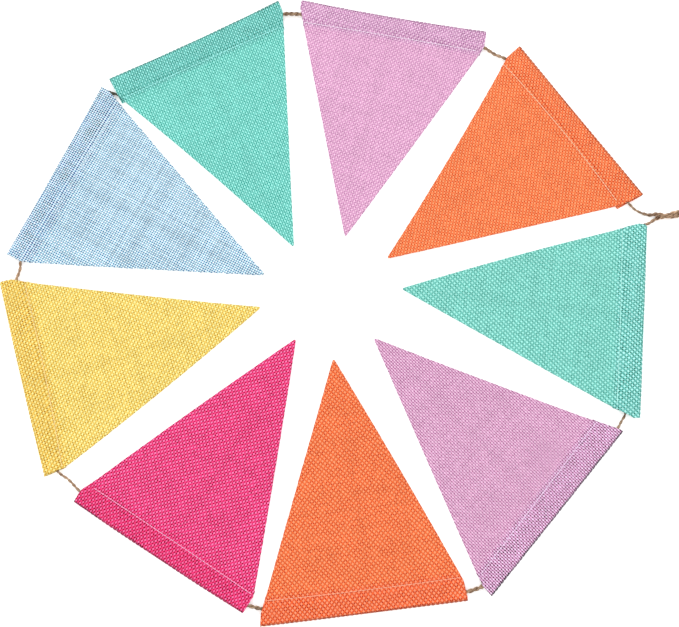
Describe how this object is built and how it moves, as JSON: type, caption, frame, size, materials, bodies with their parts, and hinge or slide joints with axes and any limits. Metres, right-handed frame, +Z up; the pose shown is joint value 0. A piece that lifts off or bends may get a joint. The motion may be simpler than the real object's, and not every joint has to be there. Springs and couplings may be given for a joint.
{
  "type": "fabric bunting",
  "caption": "Coloured cloth pennants threaded on a jute twine through folded, sewn hems, laid flat in a ring with their tips inwards.",
  "frame": {"origin": "on the ground, under the middle of the box round the ring of pennants", "axes": "+Z up out of the cloth, which lies flat; +Y towards the lilac pennant at the top of the ring; the ends of the twine leave towards +X"},
  "size_m": [0.5106, 0.4544, 0.0046],
  "materials": {
    "teal_cloth": "plain-weave cotton, mint teal, matt",
    "lilac_cloth": "plain-weave cotton, lilac, matt",
    "orange_cloth": "plain-weave cotton, orange, matt",
    "pink_cloth": "plain-weave cotton, deep pink, matt",
    "yellow_cloth": "plain-weave cotton, yellow, matt",
    "blue_cloth": "loose plain-weave cotton, pale blue and white slubs, matt",
    "jute_twine": "two-ply jute twine, brown, rough",
    "sewing_thread": "fine pale sewing thread, matt"
  },
  "bodies": {
    "root": {"pennant_1_teal": "teal_cloth", "pennant_2_lilac": "lilac_cloth", "pennant_3_orange": "orange_cloth", "pennant_4_teal": "teal_cloth", "pennant_5_lilac": "lilac_cloth", "pennant_6_orange": "orange_cloth", "pennant_7_pink": "pink_cloth", "pennant_8_yellow": "yellow_cloth", "pennant_9_blue": "blue_cloth", "twine": "jute_twine"}
  },
  "joints": []
}
